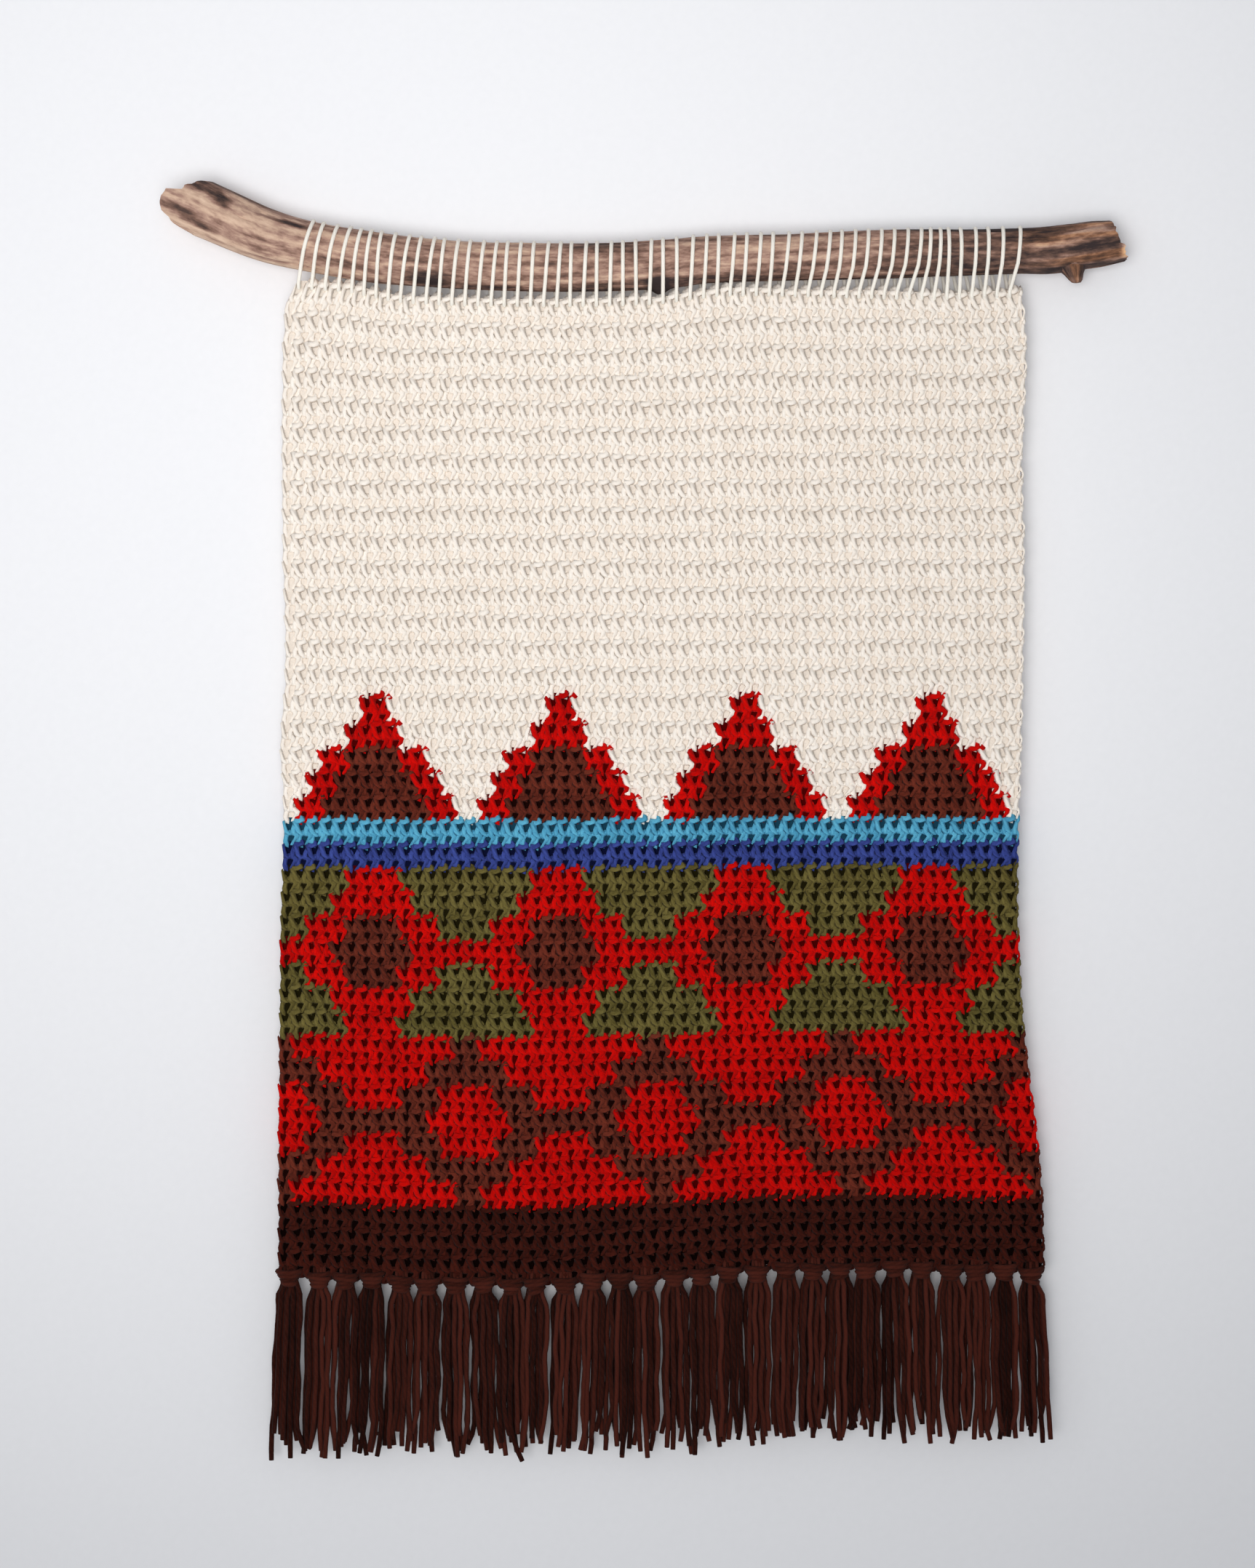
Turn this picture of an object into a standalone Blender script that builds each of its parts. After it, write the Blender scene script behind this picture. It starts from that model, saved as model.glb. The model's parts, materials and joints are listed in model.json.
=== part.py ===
"""Crochet wall hanging on a driftwood branch.

A panel of single crochet, 56 stitches by 78 rows, is whipped under a crooked branch with one long
yarn that goes through every stitch of the top row. A fringe of 28 tassels hangs from the bottom row.

Metres. X runs along the branch, Z is up, and the wall stands behind, at +Y. The origin is at the
middle of the branch's back, where the wall carries it.
"""

import math
import random
from collections import namedtuple

import bmesh
import bpy
from mathutils import Matrix, Vector

# ------------------------------------------------------------------ driving dimensions
YARN = 0.0024                   # worsted yarn, across
CLEARANCE = 0.0003              # between pieces that touch

STITCHES = 56                   # across the panel
UPPER_PAIRS = 17                # pairs of rows in the plain upper part, and their pitch
UPPER_PITCH = 0.0142
LOWER_PAIRS = 22                # pairs of rows below it, worked a little tighter
LOWER_PITCH = 0.01275
RIB_HALF = 0.0026               # half of the cloth's thickness on a rib
GROOVE_HALF = 0.0018            # and between two ribs
SCALLOP = 0.0006                # how far a rib stands out at the side edges
COLUMNS = 8                     # of faces across the panel
TOP_FADE = 0.083                # share of the height over which the top edge's sag dies out
BILLOW = 0.0030                 # how far the hanging cloth waves out of its plane

HOLE = 0.0032                   # square hole in the top row that the lashing goes through
HOLE_DROP = 0.0042              # below the top edge

BRANCH_SIDES = 14
BRANCH_RING_PITCH = 0.012
BRANCH_LUMP = 0.025             # unevenness of the branch's radius, as a share of it
STUB = dict(x=0.2295, drop=0.0050, radius=0.0052, tip_radius=0.0032)      # broken twig under the branch

TURN_ANGLES = (-40, 10, 60, 110, 160, 212)      # degrees round the branch from its front, over the top
LASH_JITTER = 0.0012            # unevenness of the turns along the branch
TAIL = 0.012                    # yarn end that hangs behind the panel

TASSELS = 28                    # one for every two stitches
TASSEL_COLUMNS = 4              # strands side by side, in a front and a back layer
HEAD_TOP = (0.0116, 0.0050)     # width and depth of a tassel's head at the cloth
HEAD_KNOT = (0.0106, 0.0066)    # at the knot
HEAD_WAIST = (0.0088, 0.0052)   # at the strands' roots
HEAD_HEIGHT = 0.0100
STRAND_RADIUS = 0.0012
LAYER_OFFSET = 0.0016           # of the two layers from the cloth's middle
SPREAD_DROP = 0.022             # below the head, where the strands have spread out
KICK_RISE = 0.014               # above its end, where a strand starts to kick out
KICK = 0.0016                   # sideways, at the most
DRIFT = 0.0015                  # sideways wave of the strands' lower half
END_JITTER = 0.008              # unevenness of the strands' ends
FAN = 0.0050                    # how far the outermost strands lean outwards

# ------------------------------------------------------------------ short tables
Station = namedtuple("Station", "x z radius")
BRANCH = (
    Station(-0.2277, 0.0280, 0.0152),
    Station(-0.2000, 0.0166, 0.0142),
    Station(-0.1752, 0.0104, 0.0132),
    Station(-0.1470, 0.0056, 0.0134),
    Station(-0.1116, 0.0013, 0.0134),
    Station(-0.0760, -0.0014, 0.0139),
    Station(-0.0200, -0.0002, 0.0140),
    Station(0.0150, 0.0010, 0.0138),
    Station(0.0351, 0.0030, 0.0129),
    Station(0.0826, 0.0048, 0.0127),
    Station(0.1390, 0.0067, 0.0126),
    Station(0.2020, 0.0080, 0.0120),
    Station(0.2180, 0.0085, 0.0125),
    Station(0.2400, 0.0114, 0.0124),
    Station(0.2500, 0.0130, 0.0114),
)
BROKEN_LEFT = dict(reach=0.0150, slope=-0.60, teeth=0.0014)     # how far the break runs past the last ring
BROKEN_RIGHT = dict(reach=0.0030, slope=-0.25, teeth=0.0006)

TopPoint = namedtuple("TopPoint", "x z")
TOP_EDGE = (
    TopPoint(-0.184, -0.0104), TopPoint(-0.158, -0.0116), TopPoint(-0.124, -0.0174),
    TopPoint(-0.080, -0.0189), TopPoint(0.003, -0.0176), TopPoint(0.045, -0.0124),
    TopPoint(0.100, -0.0122), TopPoint(0.157, -0.0131), TopPoint(0.2025, -0.0097),
)
BottomPoint = namedtuple("BottomPoint", "x z")
BOTTOM_EDGE = (
    BottomPoint(-0.194, -0.5346), BottomPoint(-0.110, -0.5385), BottomPoint(-0.060, -0.5392),
    BottomPoint(0.007, -0.5354), BottomPoint(0.096, -0.5300), BottomPoint(0.2145, -0.5327),
)
SidePoint = namedtuple("SidePoint", "z x")
LEFT_EDGE = (
    SidePoint(-0.535, -0.1940), SidePoint(-0.360, -0.1927), SidePoint(-0.285, -0.1908),
    SidePoint(-0.255, -0.1925), SidePoint(-0.215, -0.1900), SidePoint(-0.140, -0.1915),
    SidePoint(-0.022, -0.1900), SidePoint(-0.010, -0.1840),
)
RIGHT_EDGE = (
    SidePoint(-0.533, 0.2145), SidePoint(-0.484, 0.2130), SidePoint(-0.430, 0.2068),
    SidePoint(-0.390, 0.2025), SidePoint(-0.330, 0.2003), SidePoint(-0.240, 0.2027),
    SidePoint(-0.150, 0.2037), SidePoint(-0.105, 0.2028), SidePoint(-0.045, 0.2050),
    SidePoint(-0.010, 0.2025),
)
Lean = namedtuple("Lean", "x shift")
LASH_LEAN = (                   # how far a turn's top stands to the right of its hole
    Lean(-0.185, 0.0085), Lean(-0.150, 0.0055), Lean(-0.090, 0.0030), Lean(0.000, 0.0005),
    Lean(0.050, 0.0020), Lean(0.110, 0.0060), Lean(0.155, 0.0070), Lean(0.200, 0.0030),
)
End = namedtuple("End", "x z")
FRINGE_ENDS = (End(-0.200, -0.6290), End(0.000, -0.6260), End(0.100, -0.6190), End(0.215, -0.6210))

BRANCH_Y = -0.0142              # the branch's middle stands this far in front of its back
TOP_LEVEL = -0.0140             # mean levels of the panel's two ends
BOTTOM_LEVEL = -0.5350


# ------------------------------------------------------------------ reading the tables
def table_value(rows, at, column):
    """The named column of a table, read at a value of its first column, along a smooth curve."""
    keys = [row[0] for row in rows]
    at = min(max(at, keys[0]), keys[-1])
    i = next((k for k in range(1, len(rows) - 1) if at <= keys[k]), len(rows) - 1)
    low, high = rows[i - 1], rows[i]
    before, after = rows[max(i - 2, 0)], rows[min(i + 1, len(rows) - 1)]
    step = high[0] - low[0]
    t = (at - low[0]) / step
    value, end_value = getattr(low, column), getattr(high, column)
    slope_in = (end_value - getattr(before, column)) / (high[0] - before[0])
    slope_out = (getattr(after, column) - value) / (after[0] - low[0])
    return (value * (2 * t**3 - 3 * t**2 + 1) + end_value * (3 * t**2 - 2 * t**3)
            + step * slope_in * (t**3 - 2 * t**2 + t) + step * slope_out * (t**3 - t**2))


def mix(a, b, share):
    return a + (b - a) * share


def depth_share(pairs):
    """Share of the panel's height that a number of row pairs fills, from the top."""
    upper = min(pairs, UPPER_PAIRS) * UPPER_PITCH
    lower = max(pairs - UPPER_PAIRS, 0) * LOWER_PITCH
    return (upper + lower) / (UPPER_PAIRS * UPPER_PITCH + LOWER_PAIRS * LOWER_PITCH)


def cloth_point(across, down):
    """A point of the cloth's middle sheet, from the shares of its width and height."""
    top = table_value(TOP_EDGE, mix(TOP_EDGE[0].x, TOP_EDGE[-1].x, across), "z")
    bottom = table_value(BOTTOM_EDGE, mix(BOTTOM_EDGE[0].x, BOTTOM_EDGE[-1].x, across), "z")
    z = (mix(TOP_LEVEL, BOTTOM_LEVEL, down)
         + (top - TOP_LEVEL) * math.exp(-down / TOP_FADE)
         + (bottom - BOTTOM_LEVEL) * down**3)
    x = mix(table_value(LEFT_EDGE, z, "x"), table_value(RIGHT_EDGE, z, "x"), across)
    wave = (math.sin(2 * math.pi * (0.8 * across + 0.15))
            + 0.4 * math.sin(2 * math.pi * (1.7 * across + 0.6 * down)))
    return Vector((x, BRANCH_Y + BILLOW * wave * down**1.5, z))


def bottom_point(x):
    """A point on the panel's bottom edge, which is straight between the panel's columns."""
    corners = [cloth_point(i / COLUMNS, 1.0) for i in range(COLUMNS + 1)]
    i = next((k for k in range(1, COLUMNS) if x <= corners[k].x), COLUMNS)
    low, high = corners[i - 1], corners[i]
    return low.lerp(high, (x - low.x) / (high.x - low.x))


# ------------------------------------------------------------------ scene set-up
def clear_scene():
    for item in list(bpy.data.objects):
        bpy.data.objects.remove(item, do_unlink=True)
    for group in list(bpy.data.collections):
        bpy.data.collections.remove(group)


def make_collection(name):
    group = bpy.data.collections.new(name)
    bpy.context.scene.collection.children.link(group)
    return group


def make_material(name, colour, roughness):
    material = bpy.data.materials.new(name)
    material.use_nodes = True
    shader = material.node_tree.nodes["Principled BSDF"]
    shader.inputs["Base Color"].default_value = (*colour, 1.0)
    shader.inputs["Roughness"].default_value = roughness
    shader.inputs["Metallic"].default_value = 0.0
    return material


def add_mesh(name, bm, collection, material):
    mesh = bpy.data.meshes.new(name)
    bmesh.ops.recalc_face_normals(bm, faces=bm.faces)
    bm.to_mesh(mesh)
    bm.free()
    piece = bpy.data.objects.new(name, mesh)
    if material:
        mesh.materials.append(material)
    collection.objects.link(piece)
    return piece


def shade_round(piece, angle=50):
    piece.data.shade_smooth()
    piece.data.set_sharp_from_angle(angle=math.radians(angle))


def add_boolean(piece, cutter, operation):
    boolean = piece.modifiers.new(cutter.name, "BOOLEAN")
    boolean.operation = operation
    boolean.solver = "EXACT"
    boolean.object = cutter
    cutter.hide_render = True
    cutter.display_type = "WIRE"


# ------------------------------------------------------------------ branch
def branch_middle(x):
    return Vector((x, BRANCH_Y, table_value(BRANCH, x, "z")))


def branch_radius(x):
    return table_value(BRANCH, x, "radius")


def branch_ring(bm, x, broken=None):
    """One ring of the branch, square to it; a broken end runs on past the ring, further below than above."""
    step = 0.002
    along = (branch_middle(x + step) - branch_middle(x - step)).normalized()
    up = Vector((0, 1, 0)).cross(along) * -1
    outwards = along if x > 0 else -along
    ring = []
    for side in range(BRANCH_SIDES):
        angle = 2 * math.pi * side / BRANCH_SIDES
        lump = math.sin(3 * angle + 41 * x) + 0.6 * math.sin(2 * angle - 67 * x)
        radius = branch_radius(x) * (1 + BRANCH_LUMP * lump / 1.6)
        height = radius * math.sin(angle)
        point = branch_middle(x) + up * height + Vector((0, 1, 0)) * radius * math.cos(angle)
        if broken:
            tooth = broken["teeth"] * (math.sin(5 * angle + 1) + math.sin(2 * angle))
            point += outwards * (broken["reach"] + broken["slope"] * height + tooth)
        ring.append(bm.verts.new(point))
    return ring


def make_branch(collection, cutters, material):
    """Lofted by hand, because every ring has its own size and unevenness."""
    bm = bmesh.new()
    left, right = BRANCH[0].x, BRANCH[-1].x
    count = round((right - left) / BRANCH_RING_PITCH)
    rings = [branch_ring(bm, mix(left, right, i / count)) for i in range(count + 1)]
    rings.insert(0, branch_ring(bm, left, BROKEN_LEFT))
    rings.append(branch_ring(bm, right, BROKEN_RIGHT))
    for near, far in zip(rings, rings[1:]):
        for i in range(BRANCH_SIDES):
            j = (i + 1) % BRANCH_SIDES
            bm.faces.new((near[i], near[j], far[j], far[i]))
    for end in (rings[0], rings[-1]):
        cap = bm.faces.new(end)
        bmesh.ops.poke(bm, faces=[cap])
    branch = add_mesh("branch", bm, collection, material)
    shade_round(branch)

    stub_bm = bmesh.new()
    height = branch_radius(STUB["x"]) + STUB["drop"]
    bmesh.ops.create_cone(stub_bm, cap_ends=True, segments=8, radius1=STUB["tip_radius"],
                          radius2=STUB["radius"], depth=height,
                          matrix=Matrix.Translation(branch_middle(STUB["x"]) - Vector((0, 0, height / 2))))
    stub = add_mesh("stub_cutter", stub_bm, cutters, None)
    add_boolean(branch, stub, "UNION")
    return branch


# ------------------------------------------------------------------ panel
def hole_point(stitch):
    """The middle of the hole in one stitch of the top row."""
    point = cloth_point((stitch + 0.5) / STITCHES, 0.0)
    return point - Vector((0, 0, HOLE_DROP))


def make_panel(collection, cutters, material):
    """A slab of faces, two to each pair of rows, placed on the hanging sheet and ribbed along the rows."""
    pairs = UPPER_PAIRS + LOWER_PAIRS
    bm = bmesh.new()
    bmesh.ops.create_grid(bm, x_segments=COLUMNS, y_segments=2 * pairs, size=0.5)
    slab = bmesh.ops.extrude_face_region(bm, geom=bm.faces[:])
    raised = {v for v in slab["geom"] if isinstance(v, bmesh.types.BMVert)}
    for vert in bm.verts:
        across, row = vert.co.x + 0.5, round((0.5 - vert.co.y) * 2 * pairs)
        on_rib = row % 2 == 0
        side = 1 if vert in raised else -1
        point = cloth_point(across, depth_share(row / 2))
        point.y += side * (RIB_HALF if on_rib else GROOVE_HALF)
        point.x += SCALLOP * (2 * across - 1) * (1 if on_rib else -1)
        vert.co = point
    panel = add_mesh("panel", bm, collection, material)
    shade_round(panel)

    holes = bmesh.new()
    for stitch in range(STITCHES):
        size = Matrix.Diagonal((HOLE, 6 * RIB_HALF, HOLE, 1))
        bmesh.ops.create_cube(holes, size=1.0, matrix=Matrix.Translation(hole_point(stitch)) @ size)
    add_boolean(panel, add_mesh("hole_cutter", holes, cutters, None), "DIFFERENCE")
    return panel


# ------------------------------------------------------------------ lashing
def lashing_route():
    """From the back of the first hole: through it, over the branch, down its back and on to the next hole."""
    uneven = random.Random(5)
    stand_off = (CLEARANCE + YARN / 2) / math.cos(math.radians(25))
    face = RIB_HALF + CLEARANCE + YARN / 2
    route = []
    for stitch in range(STITCHES):
        hole = hole_point(stitch)
        route.append(hole + Vector((0, face, 0)))
        route.append(hole - Vector((0, face, 0)))
        top_x = hole.x + table_value(LASH_LEAN, hole.x, "shift") + uneven.uniform(-1, 1) * LASH_JITTER
        next_x = hole_point(min(stitch + 1, STITCHES - 1)).x
        for place, degrees in enumerate(TURN_ANGLES, start=1):
            share = place / (len(TURN_ANGLES) + 1)
            x = mix(hole.x, top_x, share * 2) if share < 0.5 else mix(top_x, next_x, share * 2 - 1)
            reach = branch_radius(x) * (1 + BRANCH_LUMP) / math.cos(math.radians(25)) + stand_off
            angle = math.radians(degrees)
            route.append(branch_middle(x) + Vector((0, -reach * math.cos(angle), reach * math.sin(angle))))
    last = hole_point(STITCHES - 1) + Vector((0, face + YARN, 0))
    route += [last, last - Vector((0, 0, TAIL))]
    return route


def make_lashing(collection, material):
    curve = bpy.data.curves.new("lashing", "CURVE")
    curve.dimensions = "3D"
    curve.bevel_depth = YARN / 2
    curve.bevel_resolution = 0
    curve.use_fill_caps = True
    route = lashing_route()
    spline = curve.splines.new("POLY")
    spline.points.add(len(route) - 1)
    for point, place in zip(spline.points, route):
        point.co = (*place, 1.0)
    lashing = bpy.data.objects.new("lashing", curve)
    curve.materials.append(material)
    collection.objects.link(lashing)
    return lashing


# ------------------------------------------------------------------ fringe
def strand_stops(x, layer, y, top, uneven):
    """Points down a strand that hangs from x; neighbours in a layer lean together, so none cross."""
    across = (x - BOTTOM_EDGE[0].x) / (BOTTOM_EDGE[-1].x - BOTTOM_EDGE[0].x)
    low_x = x + DRIFT * math.sin(2 * math.pi * x / 0.11 + 2.0 * layer) + FAN * (2 * across - 1) ** 7
    end_x = low_x + KICK * math.sin(2 * math.pi * x / 0.037 + 3.0 * layer)
    end = table_value(FRINGE_ENDS, x, "z") + uneven.uniform(-1, 1) * END_JITTER
    spread_x = mix(x, low_x, SPREAD_DROP / (top - end))
    return ((spread_x, y, top - SPREAD_DROP), (low_x, y, end + KICK_RISE), (end_x, y, end))


def set_section(face, middle, turn):
    """Place a strand's three-sided section about a point, with one side to the front or the back."""
    centre = face.calc_center_median()
    verts = sorted(face.verts, key=lambda v: math.atan2(v.co.y - centre.y, v.co.x - centre.x))
    angles = sorted(((turn + 120 * k + 180) % 360) - 180 for k in range(3))
    for vert, degrees in zip(verts, angles):
        angle = math.radians(degrees)
        vert.co = middle + STRAND_RADIUS * Vector((math.cos(angle), math.sin(angle), 0))


def make_tassel(index, collection, material, uneven):
    """A knotted head under the cloth's edge; its underside is cut into triangles and each drawn out."""
    pitch = (BOTTOM_EDGE[-1].x - BOTTOM_EDGE[0].x) / TASSELS
    x = BOTTOM_EDGE[0].x + (index + 0.5) * pitch
    edge = bottom_point(x)
    bm = bmesh.new()
    bmesh.ops.create_grid(bm, x_segments=TASSEL_COLUMNS, y_segments=1, size=0.5)
    roots = bm.faces[:]
    before = Vector((0, 0, 0))
    width, depth = 1.0, 1.0
    faces, rim = roots, []
    for size, drop in ((HEAD_WAIST, HEAD_HEIGHT), (HEAD_KNOT, HEAD_HEIGHT / 2), (HEAD_TOP, 0.0)):
        for vert in {v for f in faces for v in f.verts}:
            place = x + (vert.co.x - before.x) / width * size[0]
            level = (edge.z if drop else bottom_point(place).z) - CLEARANCE - drop
            vert.co = Vector((place, edge.y + (vert.co.y - before.y) / depth * size[1], level))
        before, (width, depth) = Vector((x, edge.y, 0)), size
        if drop:
            grown = bmesh.ops.extrude_face_region(bm, geom=faces + rim)["geom"]
            faces = [g for g in grown if isinstance(g, bmesh.types.BMFace)]
            rim = list({e for f in faces for e in f.edges})
    roots = bmesh.ops.triangulate(bm, faces=roots)["faces"]
    bmesh.ops.recalc_face_normals(bm, faces=bm.faces)
    bmesh.ops.inset_individual(bm, faces=roots, thickness=CLEARANCE / 2, use_even_offset=True)
    for root in roots:
        centre = root.calc_center_median()
        layer = 0 if centre.y < edge.y else 1
        column = math.floor((centre.x - x) / (HEAD_WAIST[0] / TASSEL_COLUMNS)) + TASSEL_COLUMNS // 2
        spread = (column - (TASSEL_COLUMNS - 1) / 2 + (layer - 0.5) / 2) * pitch / TASSEL_COLUMNS
        y = edge.y + (2 * layer - 1) * LAYER_OFFSET
        face = root
        for stop in strand_stops(x + spread, layer, y, centre.z, uneven):
            face = bmesh.ops.extrude_discrete_faces(bm, faces=[face])["faces"][0]
            set_section(face, Vector(stop), -90 if layer else 90)
    name = f"tassel_{index + 1:02d}"
    return add_mesh(name, bm, collection, material)


# ------------------------------------------------------------------ the whole hanging
def main():
    clear_scene()
    parts = make_collection("crochet_wall_hanging")
    cutters = make_collection("cutters")
    wood = make_material("driftwood", (0.28, 0.17, 0.10), 0.75)
    cream = make_material("cream_yarn", (0.83, 0.76, 0.66), 0.9)
    lash_yarn = make_material("lashing_yarn", (0.86, 0.80, 0.70), 0.9)
    brown = make_material("brown_yarn", (0.055, 0.018, 0.012), 0.9)
    make_branch(parts, cutters, wood)
    make_panel(parts, cutters, cream)
    make_lashing(parts, lash_yarn)
    uneven = random.Random(11)
    for index in range(TASSELS):
        make_tassel(index, parts, brown, uneven)


main()
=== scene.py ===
import json
import math
import random

import bmesh
import bpy
import numpy as np
from mathutils import Matrix, Vector, noise

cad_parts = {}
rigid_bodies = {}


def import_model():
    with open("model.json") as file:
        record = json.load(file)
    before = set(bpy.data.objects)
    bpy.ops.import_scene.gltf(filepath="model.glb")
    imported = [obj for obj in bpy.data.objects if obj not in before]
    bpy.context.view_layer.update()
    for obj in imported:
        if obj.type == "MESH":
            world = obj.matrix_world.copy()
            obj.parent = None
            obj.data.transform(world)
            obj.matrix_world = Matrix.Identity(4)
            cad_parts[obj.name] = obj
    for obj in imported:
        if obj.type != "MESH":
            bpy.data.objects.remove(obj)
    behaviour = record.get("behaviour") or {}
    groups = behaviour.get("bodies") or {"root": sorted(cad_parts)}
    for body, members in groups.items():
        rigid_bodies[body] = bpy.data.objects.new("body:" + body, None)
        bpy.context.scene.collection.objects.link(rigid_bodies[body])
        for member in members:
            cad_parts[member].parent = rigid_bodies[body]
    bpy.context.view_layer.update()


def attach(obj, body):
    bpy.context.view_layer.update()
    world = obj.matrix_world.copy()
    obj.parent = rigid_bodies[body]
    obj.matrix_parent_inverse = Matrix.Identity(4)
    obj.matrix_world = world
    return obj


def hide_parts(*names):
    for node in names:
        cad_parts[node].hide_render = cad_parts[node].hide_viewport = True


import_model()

mm = 0.001
turn = 2 * math.pi


# ---- shape of the hanging, the same curves as the solids but for a top edge a little nearer the branch
panel = dict(
    across=56, upperPairs=17, upperPitch=0.0142, lowerPairs=22, lowerPitch=0.01275,
    topLevel=-0.0140, bottomLevel=-0.5350, topFade=0.083, billow=0.0030, middleY=-0.0142,
    holeDrop=0.0042, ribHalf=0.0026,
)
topEdge = [(-0.184, -0.0074), (-0.158, -0.0094), (-0.124, -0.0150), (-0.080, -0.0169), (0.003, -0.0162),
           (0.045, -0.0116), (0.100, -0.0122), (0.157, -0.0136), (0.2025, -0.0125)]
bottomEdge = [(-0.194, -0.5346), (-0.110, -0.5385), (-0.060, -0.5392), (0.007, -0.5354), (0.096, -0.5300),
              (0.2145, -0.5327)]
leftEdge = [(-0.535, -0.1940), (-0.360, -0.1927), (-0.285, -0.1908), (-0.255, -0.1925), (-0.215, -0.1900),
            (-0.140, -0.1915), (-0.022, -0.1900), (-0.010, -0.1840)]
rightEdge = [(-0.533, 0.2145), (-0.484, 0.2130), (-0.430, 0.2068), (-0.390, 0.2025), (-0.330, 0.2003),
             (-0.240, 0.2027), (-0.150, 0.2037), (-0.105, 0.2028), (-0.045, 0.2050), (-0.010, 0.2025)]


def curveOf(rows, column=1):
    # a smooth curve through a table's rows, read at one number or at an array of them
    keys = np.array([row[0] for row in rows])
    values = np.array([row[column] for row in rows])
    last = len(rows) - 1

    def read(at):
        at = np.clip(np.asarray(at, float), keys[0], keys[-1])
        i = np.clip(np.searchsorted(keys, at), 1, last)
        before, after = np.maximum(i - 2, 0), np.minimum(i + 1, last)
        step = keys[i] - keys[i - 1]
        t = (at - keys[i - 1]) / step
        slopeIn = (values[i] - values[before]) / (keys[i] - keys[before])
        slopeOut = (values[after] - values[i - 1]) / (keys[after] - keys[i - 1])
        return (values[i - 1] * (2 * t**3 - 3 * t**2 + 1) + values[i] * (3 * t**2 - 2 * t**3)
                + step * slopeIn * (t**3 - 2 * t**2 + t) + step * slopeOut * (t**3 - t**2))
    return read


topAt, bottomAt = curveOf(topEdge), curveOf(bottomEdge)
leftAt, rightAt = curveOf(leftEdge), curveOf(rightEdge)


def mix(a, b, share):
    return a + (b - a) * share


def depthShare(pairs):
    # share of the panel's height down to a number of row pairs
    upper = np.minimum(pairs, panel["upperPairs"]) * panel["upperPitch"]
    lower = np.maximum(pairs - panel["upperPairs"], 0) * panel["lowerPitch"]
    return (upper + lower) / (panel["upperPairs"] * panel["upperPitch"]
                              + panel["lowerPairs"] * panel["lowerPitch"])


def clothPoint(across, down):
    # points of the cloth's middle sheet, from shares of its width and height
    across, down = np.broadcast_arrays(np.asarray(across, float), np.asarray(down, float))
    top = topAt(mix(topEdge[0][0], topEdge[-1][0], across))
    bottom = bottomAt(mix(bottomEdge[0][0], bottomEdge[-1][0], across))
    z = (mix(panel["topLevel"], panel["bottomLevel"], down)
         + (top - panel["topLevel"]) * np.exp(-down / panel["topFade"])
         + (bottom - panel["bottomLevel"]) * down**3)
    x = mix(leftAt(z), rightAt(z), across)
    wave = (np.sin(turn * (0.8 * across + 0.15)) + 0.4 * np.sin(turn * (1.7 * across + 0.6 * down)))
    y = panel["middleY"] + panel["billow"] * wave * np.maximum(down, 0)**1.5
    return np.stack([x, y, z], axis=-1)


# ---- small helpers
def tint(red, green, blue):
    # a colour as a screen shows it, 0 to 255, made linear
    return tuple(c / 12.92 if c <= 0.04045 else ((c + 0.055) / 1.055) ** 2.4
                 for c in (red / 255, green / 255, blue / 255)) + (1.0,)


class Port:
    # a socket that takes part in sums, so that node maths reads as Python
    def __init__(self, net, socket):
        self.net, self.socket = net, socket

    def __add__(self, other): return self.net.maths("ADD", self, other)
    def __radd__(self, other): return self.net.maths("ADD", other, self)
    def __sub__(self, other): return self.net.maths("SUBTRACT", self, other)
    def __rsub__(self, other): return self.net.maths("SUBTRACT", other, self)
    def __mul__(self, other): return self.net.maths("MULTIPLY", self, other)


class Net:
    # a node tree with one way to make a node
    def __init__(self, tree, family="ShaderNode"):
        self.tree, self.family = tree, family

    def node(self, kind, settings=None, sockets=None, out=0):
        made = self.tree.nodes.new(self.family + kind)
        for key, value in (settings or {}).items():
            if key == "stops":
                ramp = made.color_ramp.elements
                while len(ramp) > 1:
                    ramp.remove(ramp[-1])
                for i, (place, colour) in enumerate(value):
                    stop = ramp[0] if i == 0 else ramp.new(place)
                    stop.position, stop.color = place, colour
            else:
                setattr(made, key, value)
        for key, value in (sockets or {}).items():
            self.feed(made.inputs[key], value)
        return Port(self, made.outputs[out])

    def feed(self, socket, value):
        if isinstance(value, Port):
            self.tree.links.new(value.socket, socket)
        else:
            socket.default_value = value

    def maths(self, operation, *values):
        return self.node("Math", {"operation": operation}, dict(enumerate(values)))

    def parts(self, vector):
        split = self.tree.nodes.new("ShaderNodeSeparateXYZ")
        self.feed(split.inputs[0], vector)
        return [Port(self, out) for out in split.outputs]

    def attribute(self, name, out="Fac"):
        return self.node("Attribute", {"attribute_name": name}, out=out)

    def noise(self, vector, scale, detail=3.0, roughness=0.5):
        return self.node("TexNoise", None, {"Vector": vector, "Scale": scale, "Detail": detail,
                                            "Roughness": roughness})

    def blend(self, share, low, high, kind="MIX"):
        made = self.tree.nodes.new("ShaderNodeMix")
        made.data_type, made.blend_type = "RGBA", kind
        for socket, value in ((made.inputs[0], share), (made.inputs[6], low), (made.inputs[7], high)):
            self.feed(socket, value)
        return Port(self, made.outputs[2])

    def ramp(self, value, stops):
        return self.node("ValToRGB", {"stops": stops}, {"Fac": value})

    def step(self, value, low, high):
        return self.node("MapRange", {"interpolation_type": "SMOOTHSTEP", "clamp": True},
                         {"Value": value, "From Min": low, "From Max": high})

    def bump(self, shader, height, strength, distance):
        raised = self.node("Bump", None, {"Height": height, "Strength": strength, "Distance": distance})
        self.feed(shader.inputs["Normal"], raised)


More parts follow.
